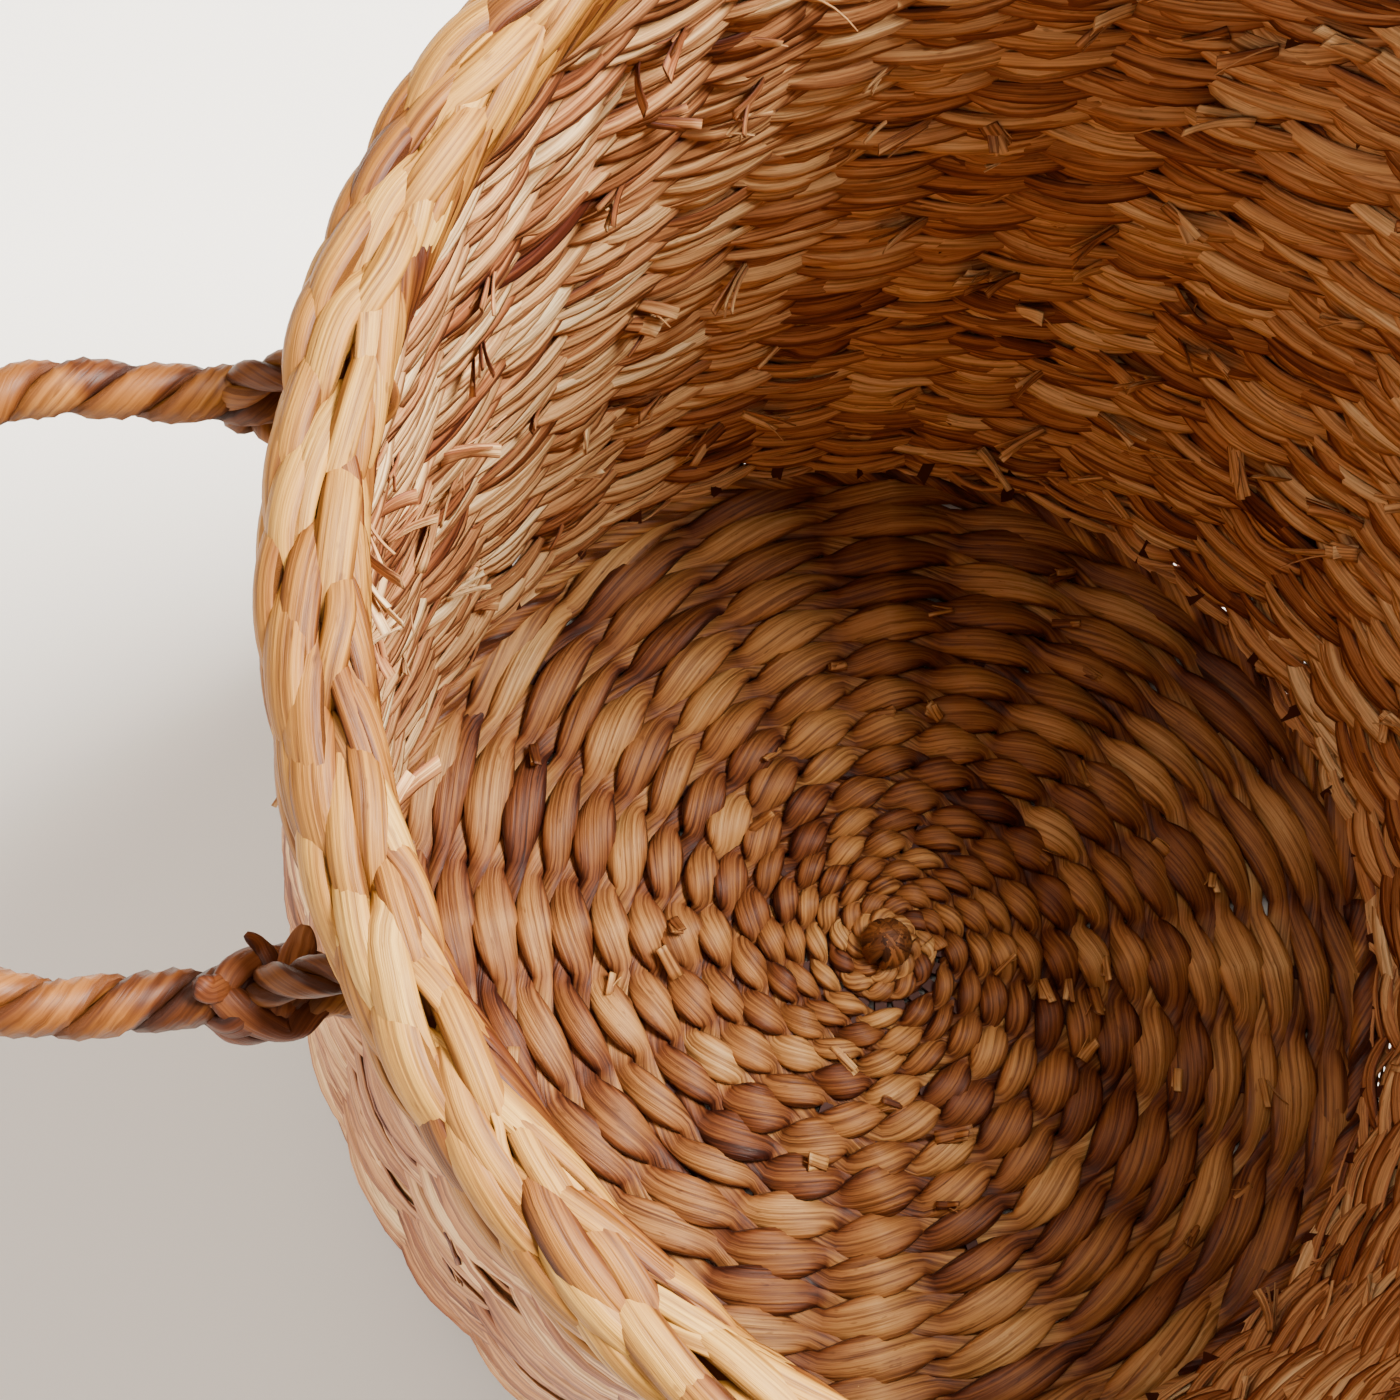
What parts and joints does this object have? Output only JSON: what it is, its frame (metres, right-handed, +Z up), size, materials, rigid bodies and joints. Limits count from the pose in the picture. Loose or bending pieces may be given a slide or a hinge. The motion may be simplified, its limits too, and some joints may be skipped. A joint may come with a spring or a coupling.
{
  "type": "laundry basket",
  "caption": "Tall round bellied laundry basket woven in natural fibre, with a twined base, a folded border and two rope handles that swing.",
  "frame": {"origin": "on the floor under the middle of the base", "axes": "+Z up the middle of the basket, +X towards the right handle, +Y across the handles"},
  "size_m": [0.5418, 0.3922, 0.412],
  "materials": {
    "wall_fibre": "dry flat fibre ribbon, silky sheen along the strand",
    "border_fibre": "smooth folded fibre strands, soft sheen",
    "base_fibre": "twisted fibre cord, matte",
    "stake_cane": "split cane, matte",
    "hub_fibre": "tightly bound dark fibre, matte",
    "rope_fibre": "twisted reddish-brown fibre rope, soft sheen",
    "knot_fibre": "knotted reddish-brown fibre with loose ends"
  },
  "bodies": {
    "basket": {"base_hub": "hub_fibre", "base_weave": "base_fibre", "wall_weave": "wall_fibre", "rim_border": "border_fibre", "stake_01": "stake_cane", "stake_02": "stake_cane", "stake_03": "stake_cane", "stake_04": "stake_cane", "stake_05": "stake_cane", "stake_06": "stake_cane", "stake_07": "stake_cane", "stake_08": "stake_cane", "stake_09": "stake_cane", "stake_10": "stake_cane", "stake_11": "stake_cane", "stake_12": "stake_cane", "stake_13": "stake_cane", "stake_14": "stake_cane", "stake_15": "stake_cane", "stake_16": "stake_cane", "stake_17": "stake_cane", "stake_18": "stake_cane", "stake_19": "stake_cane", "stake_20": "stake_cane"},
    "left_handle": {"left_handle_rope": "rope_fibre", "left_handle_knot": "knot_fibre"},
    "right_handle": {"right_handle_rope": "rope_fibre", "right_handle_knot": "knot_fibre"}
  },
  "joints": [
    {"name": "left_handle_swing", "type": "hinge", "parent": "basket", "child": "left_handle", "pos_m": [-0.17976, 0, 0.37], "axis": [0, 1, 0], "range_deg": [-74, 56]},
    {"name": "right_handle_swing", "type": "hinge", "parent": "basket", "child": "right_handle", "pos_m": [0.17976, 0, 0.37], "axis": [0, -1, 0], "range_deg": [-74, 56]}
  ]
}
